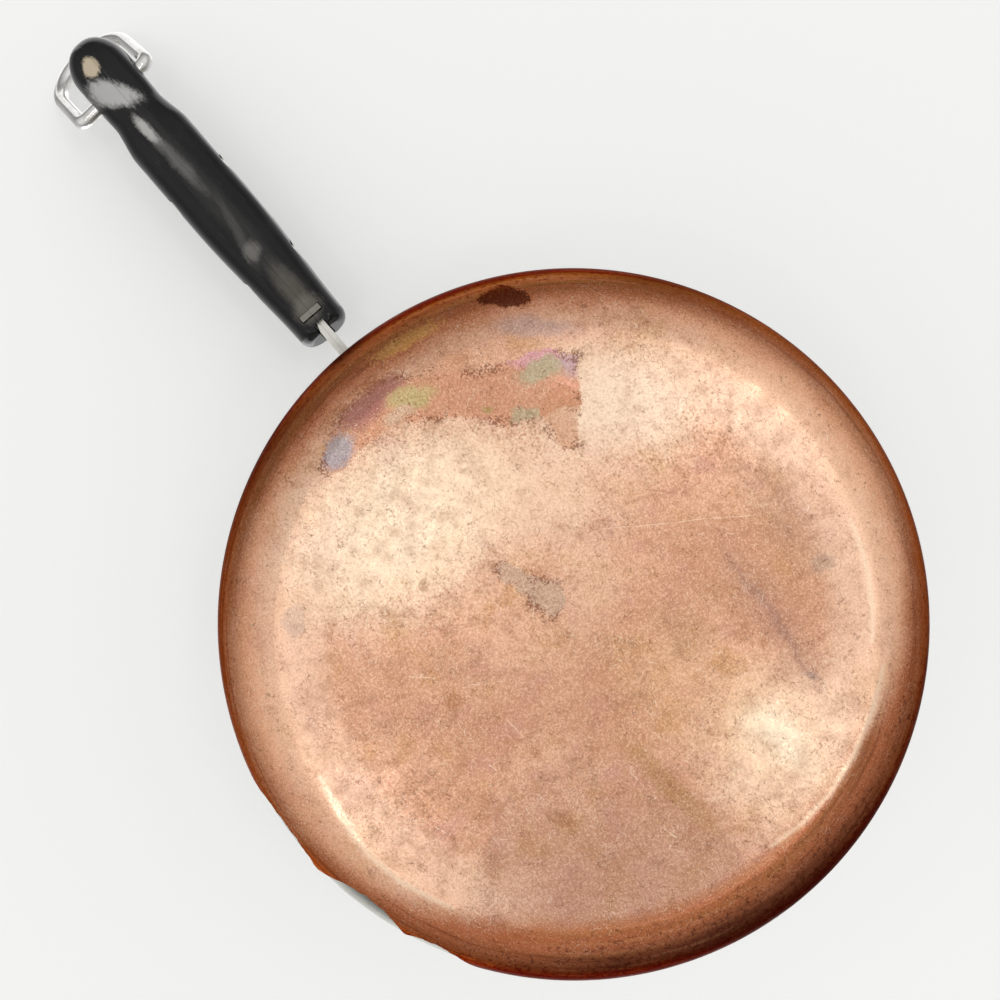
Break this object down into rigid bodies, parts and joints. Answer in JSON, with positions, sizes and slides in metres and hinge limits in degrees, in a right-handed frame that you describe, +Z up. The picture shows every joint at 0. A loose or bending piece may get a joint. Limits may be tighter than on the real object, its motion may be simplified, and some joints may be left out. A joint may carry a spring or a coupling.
{
  "type": "measuring pot",
  "caption": "Small steel measuring pot with copper-clad base, rolled rim with pour lips, inside graduation lines, black two-piece grip and a swinging wire ring.",
  "frame": {"origin": "centre of the flat underside of the copper base, on the plane that the pot stands on", "axes": "+Z up out of the mouth, +X along the handle towards its hanging ring, +Y to the left of someone who looks along the handle towards its tip"},
  "size_m": [0.2339, 0.1418, 0.065],
  "materials": {
    "stainless_shell": "satin stainless sheet with fine wear",
    "copper_skin": "used copper: rosy and golden patches, red-brown round the corner, heat tints and fine scratches",
    "bracket_steel": "bright bent sheet steel",
    "black_phenolic": "glossy black moulding, worn, with pale dirt in its channel",
    "fastener_steel": "plain steel with dull slots",
    "ring_wire": "bright round wire"
  },
  "bodies": {
    "pot": {"pot_shell": "stainless_shell", "copper_base": "copper_skin", "bracket_left": "bracket_steel", "bracket_right": "bracket_steel", "grip_left": "black_phenolic", "grip_right": "black_phenolic", "screw_front": "fastener_steel", "screw_rear": "fastener_steel", "sleeve_nut_front": "fastener_steel", "sleeve_nut_rear": "fastener_steel"},
    "ring": {"hanging_ring": "ring_wire"}
  },
  "joints": [
    {"name": "ring_swing", "type": "hinge", "parent": "pot", "child": "ring", "pos_m": [0.1473, 0, 0.05], "axis": [0.0698, 0.9976, 0], "range_deg": [-115, 185]}
  ]
}
